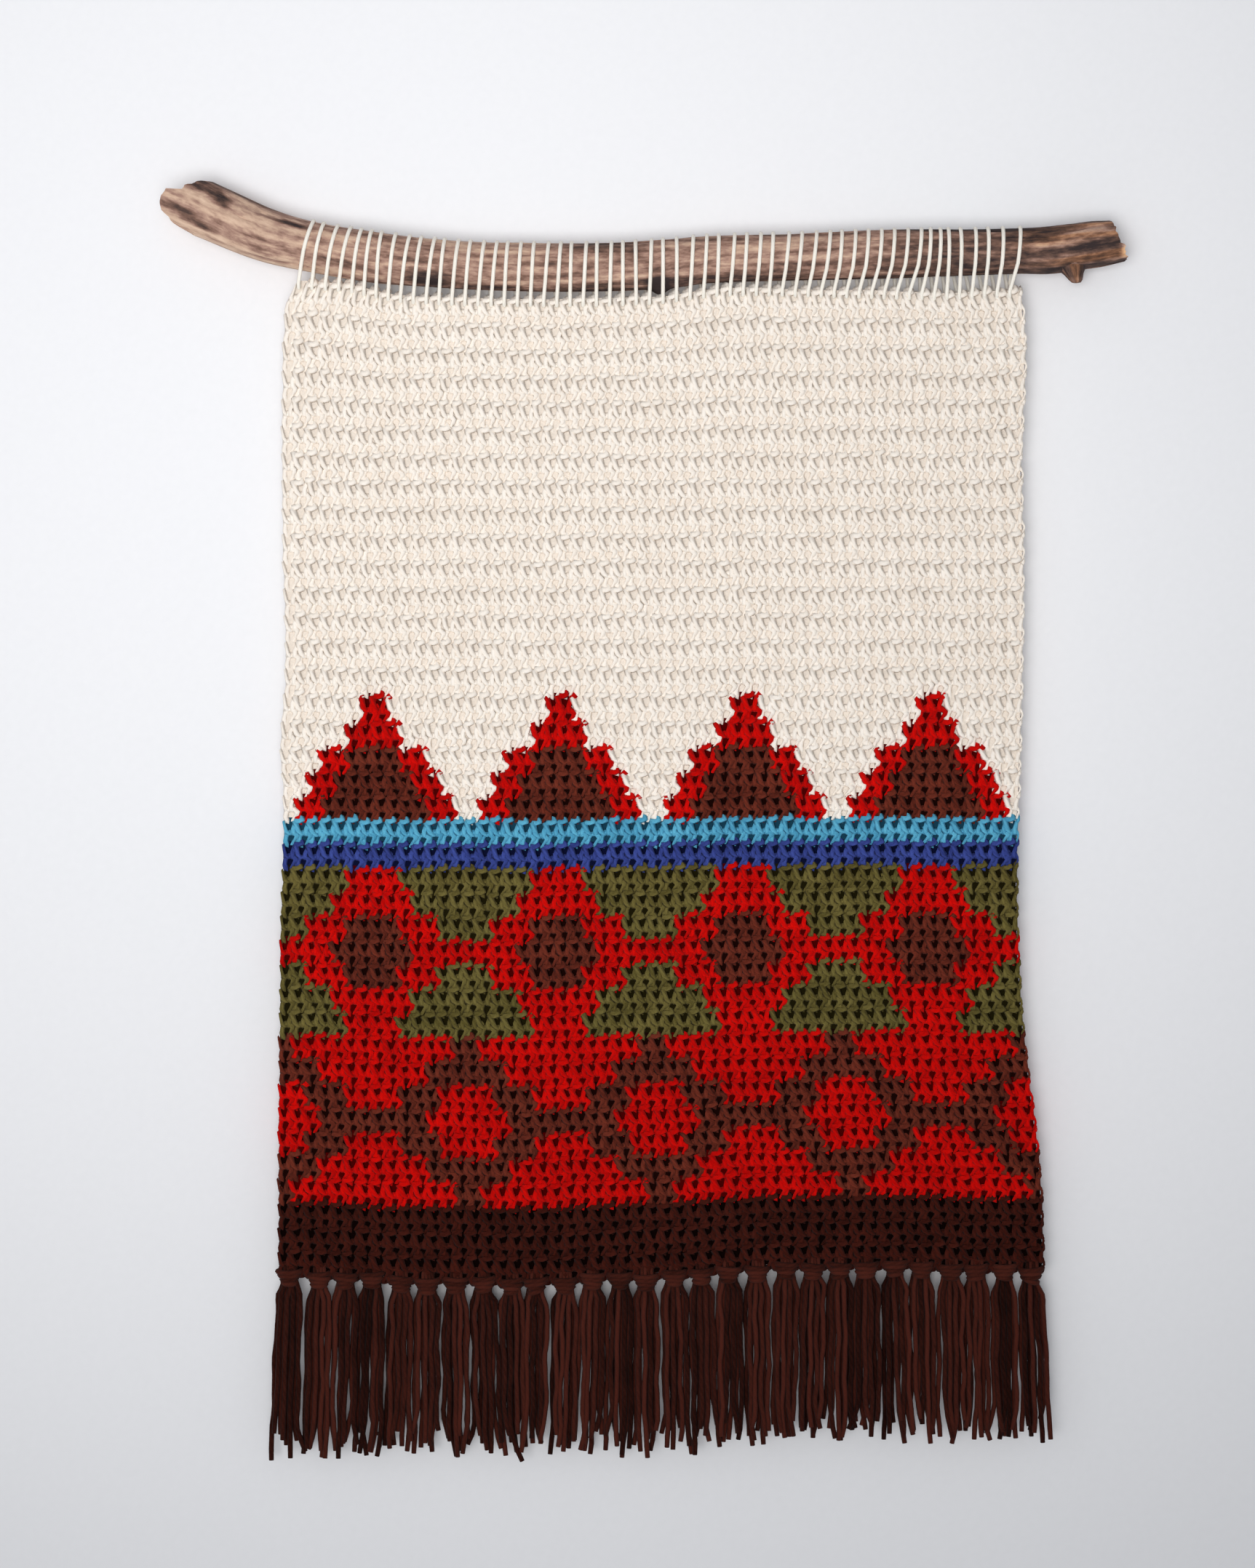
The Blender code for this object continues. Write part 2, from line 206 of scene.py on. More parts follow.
def finish(name, constants):
    # a new material, its net and its shader
    material = bpy.data.materials.new(name)
    material.use_nodes = True
    shader = material.node_tree.nodes["Principled BSDF"]
    for key, value in constants.items():
        shader.inputs[key].default_value = value
    return material, Net(material.node_tree), shader


def addObject(name, mesh, material=None):
    piece = bpy.data.objects.new(name, mesh)
    bpy.context.scene.collection.objects.link(piece)
    if material:
        mesh.materials.append(material)
    return piece


def coordinates(mesh):
    co = np.empty(len(mesh.vertices) * 3, np.float32)
    mesh.vertices.foreach_get("co", co)
    return co.reshape(-1, 3).astype(float)


def setCoordinates(mesh, co):
    mesh.vertices.foreach_set("co", np.ascontiguousarray(co, np.float32).ravel())
    mesh.update()


def setAttribute(mesh, name, kind, domain, values):
    made = mesh.attributes.new(name, kind, domain)
    field = {"FLOAT": "value", "INT": "value", "FLOAT_VECTOR": "vector", "FLOAT_COLOR": "color"}[kind]
    exact = np.int32 if kind == "INT" else np.float32
    made.data.foreach_set(field, np.ascontiguousarray(values, exact).ravel())


def cornersRound(rounds):
    # how many corners a bevelled curve has round it
    return 4 + 2 * rounds


def yarnTubes(name, paths, radius, rounds=0, widths=None):
    # yarns along paths, with the length along each and the way round it kept for the twist of its plies
    curve = bpy.data.curves.new(name, "CURVE")
    curve.dimensions = "3D"
    curve.bevel_depth, curve.bevel_resolution = radius, rounds
    for i, path in enumerate(paths):
        spline = curve.splines.new("POLY")
        spline.points.add(len(path) - 1)
        spline.points.foreach_set("co", np.c_[path, np.ones(len(path))].ravel())
        if widths is not None:
            spline.points.foreach_set("radius", np.asarray(widths[i], float))
    source = bpy.data.objects.new(name, curve)
    mesh = bpy.data.meshes.new_from_object(source)
    bpy.data.objects.remove(source)
    bpy.data.curves.remove(curve)
    sides = cornersRound(rounds)
    values = []
    for path in paths:
        run = np.r_[0, np.cumsum(np.linalg.norm(np.diff(path, axis=0), axis=1))]
        angle = np.tile(np.arange(sides) * turn / sides, len(path))
        values.append(np.stack([np.repeat(run, sides), np.cos(angle), np.sin(angle)], axis=1))
    setAttribute(mesh, "yarn", "FLOAT_VECTOR", "POINT", np.concatenate(values))
    mesh.uv_layers.remove(mesh.uv_layers[0])
    bm = bmesh.new()
    bm.from_mesh(mesh)
    bmesh.ops.holes_fill(bm, edges=[e for e in bm.edges if e.is_boundary])      # the yarns' cut ends
    bm.to_mesh(mesh)
    bm.free()
    mesh.shade_smooth()
    return mesh


# ---- spun yarn: plies twisted round each other, with painted shade in the grooves between them, matt, with a soft nap and blotches of dye
wool = dict(
    # ply is how much the grooves between the plies are painted darker as shade; times plyRelief it is their
    # bump too
    plies=3, plyPitch=0.0052, ply=0.18, tones=0.30, nap=0.38, napScale=1400.0, blotch=0.32, blotchScale=90.0,
    lift=0.11, plyRelief=2.4, napRelief=0.4,
    look={"Roughness": 0.92, "Sheen Weight": 0.02, "Sheen Roughness": 0.6, "Specular IOR Level": 0.05},
)


def yarnFinish(name, light, dark, pitch=wool["plyPitch"], ply=wool["ply"], tones=wool["tones"]):
    material, net, shader = finish(name, wool["look"])
    along, cosine, sine = net.parts(net.attribute("yarn", "Vector"))
    around = net.maths("ARCTAN2", sine, cosine)
    # the grooves of the twist are painted darker in the colour below, as shade, and sunk in the bump
    twist = net.maths("SINE", along * (turn / pitch) + around * wool["plies"]) * 0.5 + 0.5
    place = net.node("TexCoord", out="Object")
    nap = net.noise(place, wool["napScale"], 2.0)
    blotch = net.noise(place, wool["blotchScale"], 2.0)
    tone = net.attribute("tone")
    shade = twist * ply + nap * wool["nap"] + blotch * wool["blotch"] + (tone - 0.5) * tones + wool["lift"]
    net.feed(shader.inputs["Base Color"], net.blend(net.step(shade, 0.0, 1.0), dark, light))
    net.bump(shader, twist * (ply * wool["plyRelief"]) + nap * wool["napRelief"], 0.5, 0.0003)
    return material


# ---- camera, wall and light
view = dict(
    lens=95.0, distance=2.2, middleX=-0.0075, middleZ=-0.2752, wallY=0.0048, wallHalf=4.0,
    paint=(tint(236, 236, 239), tint(240, 240, 243)),
    room=(0.93, 0.96, 1.0, 1), roomLight=0.33, aim=(-0.13, 0, 0.02),
    # each lamp's place, size, spread in degrees, power and colour
    lamps={
        "front": ((-0.32, -2.25, -0.40), 1.1, 54, 4.4, (1.0, 0.997, 0.985)),
        "window": ((-0.50, -1.55, -0.05), 1.9, 120, 2.4, (0.97, 0.985, 1.0)),
        "behind": ((0.9, 2.2, 0.8), 1.8, 180, 12.0, (1, 1, 1)),
    },
)


def paintedWall():
    material, net, shader = finish("paintedWall", {"Roughness": 0.9})
    grain = net.noise(net.node("TexCoord", out="Object"), 260.0, 4.0)
    net.feed(shader.inputs["Base Color"], net.blend(grain, *view["paint"]))
    net.bump(shader, grain, 0.25, 0.0004)
    clear = net.node("BsdfTransparent")
    # clear from behind, and to the lamp behind it, so that the back can be looked at too
    through = net.maths("MAXIMUM", net.node("NewGeometry", out="Backfacing"),
                        net.node("LightPath", out="Is Shadow Ray"))
    both = net.node("MixShader", None, {0: through, 1: Port(net, shader.outputs[0]), 2: clear})
    net.feed(material.node_tree.nodes["Material Output"].inputs["Surface"], both)
    return material


def makeStage():
    scene = bpy.context.scene
    scene.view_settings.view_transform = "Standard"
    camera = bpy.data.objects.new("camera", bpy.data.cameras.new("camera"))
    camera.data.lens = view["lens"]
    camera.location = (view["middleX"], panel["middleY"] - view["distance"], view["middleZ"])
    camera.rotation_euler = (math.radians(90), 0, 0)
    scene.collection.objects.link(camera)
    scene.camera = camera

    bm = bmesh.new()
    bmesh.ops.create_grid(bm, x_segments=1, y_segments=1, size=view["wallHalf"])
    bmesh.ops.rotate(bm, matrix=Matrix.Rotation(math.radians(90), 3, "X"), verts=bm.verts)
    bmesh.ops.translate(bm, vec=(0, view["wallY"], 0), verts=bm.verts)
    mesh = bpy.data.meshes.new("wall")
    bm.to_mesh(mesh)
    bm.free()
    addObject("wall", mesh, paintedWall())

    world = bpy.data.worlds.new("room")
    scene.world = world
    world.use_nodes = True
    background = world.node_tree.nodes["Background"]
    background.inputs["Color"].default_value = view["room"]
    background.inputs["Strength"].default_value = view["roomLight"]
    for name, (place, size, spread, power, colour) in view["lamps"].items():
        lamp = bpy.data.objects.new(name, bpy.data.lights.new(name, "AREA"))
        lamp.data.size, lamp.data.energy, lamp.data.color = size, power, colour
        lamp.data.spread = math.radians(spread)
        lamp.location = place
        aim = Vector(view["aim"]) - lamp.location
        lamp.rotation_euler = aim.to_track_quat("-Z", "Y").to_euler()
        scene.collection.objects.link(lamp)


makeStage()
print("stage ready")


# ---- driftwood branch
wood = dict(
    sides=64, rings=300, sharpAngle=48, lump=0.025, splinters=0.0016, tornLength=0.013,
    grooves=0.00040, ridgeShare=1.3, scratchShare=0.8, crackDepth=0.0009, crackSharp=9, grainRadius=0.0135,
    knotX=0.0089, knotHeight=0.0034, knotLength=0.0042, knotWidth=0.30, knotAngle=0.75 * turn,
    # noise in the shape: how finely it changes along the branch and round it, and its seed
    ridges=(16.0, 2.6, 3.0), scratches=(38.0, 9.0, 11.0), cracks=(7.0, 2.2, 27.0), torn=(1.0, 4.1, 5.0),
    stain=(22.0, 3.4, 41.0), wander=(60.0, 2.0, 57.0), stainDepth=0.30, wanderDepth=0.10, backShare=0.5,
    # rings of torn fibres inside a broken end: share of the end's size, and the step outwards
    tornRings=[(0.82, -0.0022), (0.60, 0.0012), (0.36, -0.0016), (0.12, 0.0006)], tornScale=900, tornBark=0.1,
    # the stub of a twig; a ring is its drop from the branch's middle, its radius and its lean to the right
    stubX=0.2295, stubSides=24, stubUneven=0.16, stubRound=1.7, stubAlong=240, stubGrain=0.008,
    stubBark=0.84, tipDrop=0.017, tipPaler=0.14,
    stubRings=[(0.0070, 0.0100, -0.0022), (0.0100, 0.0080, -0.0014), (0.0122, 0.0067, -0.0008),
               (0.0140, 0.0056, -0.0002), (0.0156, 0.0045, 0.0004), (0.0171, 0.0035, 0.0010),
               (0.0184, 0.0024, 0.0014), (0.0187, 0.0010, 0.0014)],
    # noise in the finish: its scale along and across the grain, detail and roughness
    fibre=(26.0, 300.0, 5.0, 0.6), streak=(9.0, 95.0, 4.0, 0.55), spots=(150.0, 380.0, 3.0, 0.6),
    fibreShare=0.9, streakShare=0.8, spotShare=0.9,
    tones=[(0.0, tint(222, 192, 168)), (0.26, tint(200, 168, 146)), (0.46, tint(166, 132, 117)),
           (0.64, tint(126, 95, 82)), (0.82, tint(88, 66, 58)), (1.0, tint(50, 38, 38))],
    # streaks are warmer towards the right end
    warmPlace=(0.18, 0.23), warmStreak=(0.46, 0.60), warmth=(1.18, 0.98, 0.70, 1),
)
# place along the wall, height of the middle, radius
branchLine = [(-0.2277, 0.0280, 0.0152), (-0.2000, 0.0166, 0.0142), (-0.1752, 0.0104, 0.0132),
              (-0.1470, 0.0056, 0.0133), (-0.1116, 0.0016, 0.0129), (-0.0760, -0.0004, 0.0125),
              (-0.0200, -0.0002, 0.0127), (0.0150, 0.0014, 0.0128), (0.0351, 0.0034, 0.0124),
              (0.0826, 0.0048, 0.0126), (0.1390, 0.0067, 0.0126), (0.2020, 0.0080, 0.0120),
              (0.2180, 0.0085, 0.0125), (0.2400, 0.0114, 0.0124), (0.2500, 0.0130, 0.0114)]
# how far each broken end runs on, by height from the branch's own middle
brokenEnds = {
    "left": [(-0.0152, 0.0020), (-0.0138, 0.0080), (-0.0122, 0.0175), (-0.0104, 0.0226), (-0.0063, 0.0276),
             (-0.0020, 0.0262), (0.0023, 0.0249), (0.0034, 0.0198), (0.0055, 0.0183), (0.0102, 0.0145),
             (0.0130, 0.0112), (0.0155, 0.0060)],
    "right": [(-0.0120, 0.0062), (-0.0100, 0.0058), (-0.0076, 0.0044), (-0.0036, 0.0050),
              (-0.0026, 0.0030), (0.0009, 0.0026), (0.0065, 0.0019), (0.0115, 0.0003)],
}
branchZ, branchRadius = curveOf(branchLine, 1), curveOf(branchLine, 2)
# bark left on the bare wood: how dark it is along the branch, then its patches
barkAlong = curveOf([(-0.256, 0.34), (-0.215, 0.27), (-0.175, 0.30), (-0.140, 0.46), (-0.100, 0.48),
                     (-0.060, 0.40), (0.000, 0.50), (0.045, 0.52), (0.085, 0.50), (0.120, 0.62),
                     (0.165, 0.82), (0.205, 0.82), (0.250, 0.78)])
# each patch: place, share of the branch's height, length, width as such a share, how much darker
barkPatches = [
    (-0.2227, 0.46, 0.0050, 0.20, 0.80), (-0.2340, 0.74, 0.0090, 0.24, 0.55),
    (-0.2480, -0.42, 0.0100, 0.14, 0.60), (-0.2330, -0.58, 0.0120, 0.15, 0.65),
    (-0.2060, 0.97, 0.0300, 0.13, 0.60), (-0.1830, 0.62, 0.0100, 0.13, 0.60),
    (-0.2050, -0.66, 0.0120, 0.17, 0.30), (-0.1130, -0.72, 0.0110, 0.34, 0.60),
    # the near-black patch at 0.0089 lies on the knot under the branch
    (-0.0550, -0.98, 0.0500, 0.18, 0.45), (0.0089, -0.92, 0.0050, 0.34, 0.95),
    (-0.0050, 0.50, 0.0080, 0.30, 0.30), (0.0600, -0.95, 0.0400, 0.20, 0.30),
    # a negative darkness makes a patch lighter, as in the two streaks near the right end on the next line
    (0.2370, 0.55, 0.0140, 0.20, -0.50), (0.2170, 0.20, 0.0150, 0.11, -0.35),
    (0.2400, 0.00, 0.0140, 0.11, 0.18), (0.2570, -0.50, 0.0024, 0.30, -0.95),
    (0.1990, 0.90, 0.0220, 0.16, 0.30), (0.2180, -0.55, 0.0200, 0.12, -0.20),
]


def branchFrame(x):
    # the branch's direction at a place: how much of it runs along and how much rises
    step = 0.002
    rise = branchZ(x + step) - branchZ(x - step)
    run = np.minimum(x + step, branchLine[-1][0]) - np.maximum(x - step, branchLine[0][0])
    length = np.sqrt(run**2 + rise**2)
    return run / length, rise / length


def branchSurface(x, angle, extra=0.0):
    # a point at an angle round the branch from the back, over the top
    along, rise = branchFrame(x)
    lump = np.sin(3 * angle + 41 * x) + 0.6 * np.sin(2 * angle - 67 * x)
    radius = branchRadius(x) * (1 + wood["lump"] * lump / 1.6) + extra
    height = radius * np.sin(angle)
    return np.stack([x - rise * height, panel["middleY"] + radius * np.cos(angle),
                     branchZ(x) + along * height], axis=-1), height


def grainNoise(x, angle, stretch, fine, seed):
    # noise drawn out along the branch
    out = np.empty(len(x))
    for i, (px, pa) in enumerate(zip(x, angle)):
        out[i] = noise.noise(Vector((px * stretch + seed, math.cos(pa) * fine, math.sin(pa) * fine)))
    return out


def branchSkin():
    # the branch as an open tube with its grooves, knot, splinters and bark
    bm = bmesh.new()
    bmesh.ops.create_grid(bm, x_segments=wood["rings"], y_segments=wood["sides"], size=0.5)
    mesh = bpy.data.meshes.new("branchDriftwood")
    bm.to_mesh(mesh)
    bm.free()
    flat = coordinates(mesh)
    left, right = branchLine[0][0], branchLine[-1][0]
    x = mix(left, right, flat[:, 0] + 0.5)
    angle = turn * (flat[:, 1] + 0.5)
    ridges, scratches = grainNoise(x, angle, *wood["ridges"]), grainNoise(x, angle, *wood["scratches"])
    crack = np.clip(1 - np.abs(grainNoise(x, angle, *wood["cracks"])) * wood["crackSharp"], 0, 1)
    extra = (wood["grooves"] * (wood["ridgeShare"] * ridges + wood["scratchShare"] * scratches)
             - wood["crackDepth"] * crack**2)
    knot = np.exp(-((x - wood["knotX"]) / wood["knotLength"])**2
                  - ((angle - wood["knotAngle"]) / wood["knotWidth"])**2)
    place, height = branchSurface(x, angle, extra + wood["knotHeight"] * knot)
    for sign, key, end in ((-1, "left", left), (1, "right", right)):
        # towards a broken end the surface is drawn out into splinters
        near = np.clip(1 - np.abs(x - end) / wood["tornLength"], 0, 1)
        stretch, fine, seed = wood["torn"]
        ragged = (curveOf(brokenEnds[key])(height)
                  + wood["splinters"] * grainNoise(x * 0, angle, stretch, fine, seed * sign))
        along, rise = branchFrame(x)
        place[:, 0] += sign * along * ragged * near
        place[:, 2] += sign * rise * ragged * near
    bark = barkAlong(place[:, 0]) + wood["stainDepth"] * grainNoise(place[:, 0], angle, *wood["stain"])
    wander = wood["wanderDepth"] * grainNoise(place[:, 0], angle, *wood["wander"])
    share, front = height / branchRadius(x), np.where(np.cos(angle) < 0, 1.0, wood["backShare"])
    for px, level, length, width, dark in barkPatches:
        bark += dark * front * np.exp(-((place[:, 0] - px) / length)**2
                                      - ((share + wander - level) / width)**2)
    setCoordinates(mesh, place)
    across = wood["grainRadius"] * np.stack([np.cos(angle), np.sin(angle)], axis=1)
    setAttribute(mesh, "grain", "FLOAT_VECTOR", "POINT", np.c_[place[:, 0], across])
    setAttribute(mesh, "bark", "FLOAT", "POINT", bark)
    return mesh


def growRing(bm, rim):
    # one ring more from a rim of edges
    grown = bmesh.ops.extrude_edge_only(bm, edges=rim)["geom"]
    return ([g for g in grown if isinstance(g, bmesh.types.BMEdge)],
            [g for g in grown if isinstance(g, bmesh.types.BMVert)])


def middleOf(verts):
    return sum((v.co for v in verts), Vector()) / len(verts)


def closeEnds(bm, grain, bark):
    # inside a broken end: rings of torn fibres that step in and out, closed at the core
    for sign in (-1, 1):
        rim = [e for e in bm.edges if e.is_boundary and e.verts[0].co.x * sign > 0]
        last = 1.0
        for share, depth in wood["tornRings"]:
            centre = middleOf(dict.fromkeys(v for e in rim for v in e.verts))
            rim, ring = growRing(bm, rim)
            for v in ring:
                torn = noise.noise(Vector((v.co.y * wood["tornScale"], v.co.z * wood["tornScale"],
                                           share * 9 + sign)))
                out = sign * (depth + wood["splinters"] * torn)
                v.co = centre + (v.co - centre) * (share / last) + Vector((out, 0, 0))
                v[grain], v[bark] = v.co.copy(), wood["tornBark"]
            last = share
        bmesh.ops.contextual_create(bm, geom=rim)


def addStub(bm, grain, bark):
    # the twig's stub: it flares out of the branch and ends in a blunt tip
    x = wood["stubX"]
    start = Vector((x, panel["middleY"], float(branchZ(x))))
    drop, size, lean = wood["stubRings"][0]
    base = bmesh.ops.create_circle(bm, segments=wood["stubSides"], radius=size, matrix=Matrix.Translation(
        start + Vector((lean, 0, -drop))))["verts"]
    rim = list(dict.fromkeys(e for v in base for e in v.link_edges))
    for drop, size, lean in wood["stubRings"][1:]:
        rim, ring = growRing(bm, rim)
        middle = middleOf(ring)
        for v in ring:
            way = Vector((v.co.x - middle.x, v.co.y - middle.y, 0)).normalized()
            torn = noise.noise(way * wood["stubRound"] + Vector((0, 0, drop * wood["stubAlong"])))
            v.co = start + Vector((lean, 0, -drop)) + way * size * (1 + wood["stubUneven"] * torn)
            v[grain] = Vector((x + drop, way.x * wood["stubGrain"], way.y * wood["stubGrain"]))
            v[bark] = wood["stubBark"] - wood["tipPaler"] * (drop > wood["tipDrop"])
    bmesh.ops.contextual_create(bm, geom=rim)


def makeBranch():
    mesh = branchSkin()
    bm = bmesh.new()
    bm.from_mesh(mesh)
    bmesh.ops.remove_doubles(bm, verts=bm.verts, dist=1e-6)
    grain, bark = bm.verts.layers.float_vector["grain"], bm.verts.layers.float["bark"]
    closeEnds(bm, grain, bark)
    addStub(bm, grain, bark)
    bmesh.ops.recalc_face_normals(bm, faces=bm.faces)
    bm.to_mesh(mesh)
    bm.free()
    mesh.shade_smooth()
    mesh.set_sharp_from_angle(angle=math.radians(wood["sharpAngle"]))
    return mesh


def woodFinish():
    material, net, shader = finish("driftwoodGrain", {"Roughness": 0.78, "Specular IOR Level": 0.3})
    grain, bark = net.attribute("grain", "Vector"), net.attribute("bark")

    def drawnOut(along, across, detail, roughness):
        longer = net.node("Mapping", {"vector_type": "POINT"},
                          {"Vector": grain, "Scale": (along, across, across)})
        return net.noise(longer, 1.0, detail, roughness)

    fibre, streak, spots = (drawnOut(*wood[key]) for key in ("fibre", "streak", "spots"))
    share = (bark + (0.5 - streak) * wood["streakShare"] + (0.5 - fibre) * wood["fibreShare"]
             + (0.5 - spots) * wood["spotShare"])
    colour = net.ramp(share, wood["tones"])
    warm = net.step(net.parts(grain)[0], *wood["warmPlace"]) * net.step(streak, *wood["warmStreak"])
    net.feed(shader.inputs["Base Color"], net.blend(warm, colour, wood["warmth"], "MULTIPLY"))
    net.feed(shader.inputs["Roughness"], 0.7 + fibre * 0.25)
    net.bump(shader, fibre * 0.7 + streak * 0.6, 0.6, 0.0006)
    return material


branchPiece = addObject("branchDriftwood", makeBranch(), woodFinish())
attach(branchPiece, "root")
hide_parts("branch")
print("branch ready")


# ---- the lashing: one yarn whipped round the branch and through the top row
lash = dict(
    yarn=0.0021, clearance=-0.0005, jitter=0.0009, tail=0.012, rounds=2, tone=0.6,
    firstAngle=-35, lastAngle=216, angleStep=16, tailAside=0.001,
    # through its hole: share of the distance to the cloth's face behind, what is added, and how far up
    through=[(1, 0, 0.0005), (0, 0, -0.0002), (-1, 0, 0.0003), (-1, -0.0003, 0.0030)],
    # at the sides the top row is drawn in: how far, from where and over what length
    pullRight=(0.0040, 0.10, 0.10), pullLeft=(0.0015, -0.12, 0.06),
)
lashLean = curveOf([(-0.185, 0.0089), (-0.178, 0.0060), (-0.166, 0.0060), (-0.153, 0.0046),
                    (-0.146, 0.0032), (-0.139, 0.0042), (-0.090, 0.0034), (0.000, 0.0005), (0.050, 0.0018),
                    (0.100, 0.0045), (0.130, 0.0064), (0.149, 0.0055), (0.160, 0.0012), (0.180, 0.0016),
                    (0.190, 0.0038), (0.200, 0.0075)])
lashBow = curveOf([(-0.185, 1.35), (-0.120, 1.2), (-0.060, 1.0), (0.080, 0.9), (0.110, 0.55), (0.200, 0.50)])


def holePoint(stitch):
    # where a turn of the lashing goes through the top row
    point = clothPoint((stitch + 0.5) / panel["across"], 0.0)
    right, left = lash["pullRight"], lash["pullLeft"]
    point[0] -= (right[0] * max(point[0] - right[1], 0) / right[2]
                 + left[0] * max(left[1] - point[0], 0) / left[2])
    return point - np.array([0, 0, panel["holeDrop"]])


def roundBranch(x, side, extra):
    # on the branch at an angle round it, and right at x although the branch slopes
    slope = branchFrame(x)[1]
    return branchSurface(x + slope * (branchRadius(x) + extra) * math.sin(side), side, extra)[0]


def lashingPath():
    uneven = random.Random(5)
    standOff = lash["clearance"] + lash["yarn"] / 2
    face = panel["ribHalf"] + standOff
    path = []
    count = panel["across"]
    for stitch in range(count):
        hole = holePoint(stitch)
        for behind, more, up in lash["through"]:
            path.append(hole + (0, behind * face + more, up))
        topX = hole[0] + float(lashLean(hole[0])) + uneven.uniform(-1, 1) * lash["jitter"]
        nextX = holePoint(min(stitch + 1, count - 1))[0]
        peak = float(branchZ(topX) + branchRadius(topX)) + standOff
        for degrees in range(lash["firstAngle"], lash["lastAngle"], lash["angleStep"]):
            # in front it leans over by its height above the hole, behind it runs down to the next one
            side = math.radians(180 - degrees)
            level = roundBranch(np.array(hole[0]), side, standOff)[2]
            share = min(max((level - hole[2]) / (peak - hole[2]), 0), 1)
            if degrees < 90:
                x = mix(hole[0], topX, share ** float(lashBow(hole[0])))
            else:
                x = mix(nextX, topX, share)
            path.append(roundBranch(np.array(x), side, standOff))
    last = holePoint(count - 1) + (0, face + lash["yarn"], 0)
    path += [last, last - (0, 0, lash["tail"] / 2), last - (lash["tailAside"], 0, lash["tail"])]
    return np.array(path)


lashMesh = yarnTubes("lashingYarn", [lashingPath()], lash["yarn"] / 2, lash["rounds"])
setAttribute(lashMesh, "tone", "FLOAT", "POINT", np.full(len(lashMesh.vertices), lash["tone"]))
lashFinish = yarnFinish("lashingWool", tint(252, 248, 240), tint(232, 223, 208))
lashing = addObject("lashingYarn", lashMesh, lashFinish)
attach(lashing, "root")
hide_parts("lashing")
print("lashing ready")


# ---- the chart of colours, a plain traditional one of stepped diamonds and bands
# half a motif in stitches, and the row where each part of the chart ends
bands = dict(halfMotif=7, plain=30, points=40, sky=42, royal=44, diamonds=58, wideDiamonds=72)


def chartYarn(row, column):
    half = bands["halfMotif"]
    centre = abs((column + 0.5) % (2 * half) - half)           # stitches from the middle of a motif
    offset = abs((column + 0.5 + half) % (2 * half) - half)    # and from the middle between two
    if row < bands["plain"]:
        return "cream"
    if row < bands["points"]:                                  # stepped points in the plain field
        step = ((row - bands["plain"]) // 2 + 1) * 1.25
        return "brown" if centre < step - 2 else "red" if centre < step else "cream"
    if row < bands["sky"]:
        return "sky"
    if row < bands["royal"]:
        return "royal"
    if row < bands["diamonds"]:                                # diamonds on olive
        reach = 6.5 - abs((row - bands["royal"]) // 2 - 3) * 1.6
        return "olive" if centre > reach else "red" if centre > reach - 3.2 else "brown"
    if row < bands["wideDiamonds"]:                            # wide diamonds on red
        reach = 6.8 - abs((row - bands["diamonds"]) // 2 - 3) * 1.9
        return "brown" if reach - 3.4 < offset <= reach else "red"
    return "umber"


# one single crochet worked to the left, in millimetres from the hole below it with its face at -y: down
# the back, through, up the face, over, down, through, up the back and along the chain, with its fullness
cell = dict(
    pitch=7.0, rise=7.1, radius=1.5, reverseShift=1.91, depth=0.86, plyPitch=5.2,
    jitter=(0.20, 0.10, 0.20), tilt=3.0, grow=0.04,
    # where the chain is cut short, and how it turns aside, back and down there
    chainEnd=2.2, endAside=0.8, endBack=0.6, endDown=0.6, endReverse=1.0,
    # at the sides the yarn turns back into the edge, a little fuller at every other row
    selvedge=1.6, fuller=0.4, edgePull=1.9, edgeReach=4.0,
    path=[
        (6, 2.79, 5.39, 1.15), (3.97, 3.11, -0.95, 1), (2.55, 2.43, -2.45, 0.9), (1.5, 0.77, -2.83, 0.82),
        (1.76, -0.58, -1.34, 0.76), (3, -1.51, 1.21, 0.72), (3.99, -2.82, 2.71, 0.98),
        (4.18, -2.88, 3.5, 1.17), (2.35, -1.48, 5.59, 1.19), (0.58, -1.23, 5.62, 1.14),
        (-0.62, -1.16, 5.1, 1.13), (-1.66, -1.17, 3.08, 1.2), (-1.99, -1.5, 0.43, 1.27),
        (-1.52, -1.04, -1.48, 1.22), (-0.85, 0.38, -2.89, 1.18), (-0.29, 2.39, -2.07, 1.11),
        (-0.25, 2.6, 0.3, 0.98), (-2.4, -0.5, 7.08, 1.19), (-2.98, -0.67, 7.7, 1.22),
        (-3.72, -0.27, 7.76, 1.24), (-4.55, 0.67, 7.32, 1.26), (-4.91, 2.59, 5.71, 1.24),
        (-3.33, 3.07, 5.16, 1.14), (-1, 2.79, 5.39, 1.15),
    ],
)


def stitchSources():
    # the kinds of stitch, in the order of their names: seen from the right side, from the wrong side, and
    # both as the last of their colour, where the chain turns down behind its own stitch
    group = bpy.data.collections.new("stitchKinds")
    path, fullness = np.array(cell["path"])[:, :3], np.array(cell["path"])[:, 3]
    turned, shift = (-1, -1, 1), np.array([cell["reverseShift"], 0, 0])
    beyond = np.clip(-cell["chainEnd"] - path[:, 0], 0, None)
    short = path + np.stack([beyond * cell["endAside"], np.minimum(beyond, 1.0) * cell["endBack"],
                             -np.minimum(beyond, 1.5) * cell["endDown"]], axis=1)
    shortReverse = short * turned + shift - (cell["endReverse"], 0, 0)
    shortReverse[:, 1] += np.minimum(beyond, 1.0)
    kinds = {"aRightSide": path, "bWrongSide": path * turned + shift,
             "cRightEnd": short, "dWrongEnd": shortReverse}
    for name, way in kinds.items():
        mesh = yarnTubes(name, [way], cell["radius"], 0, [fullness])
        group.objects.link(bpy.data.objects.new(name, mesh))
    return group


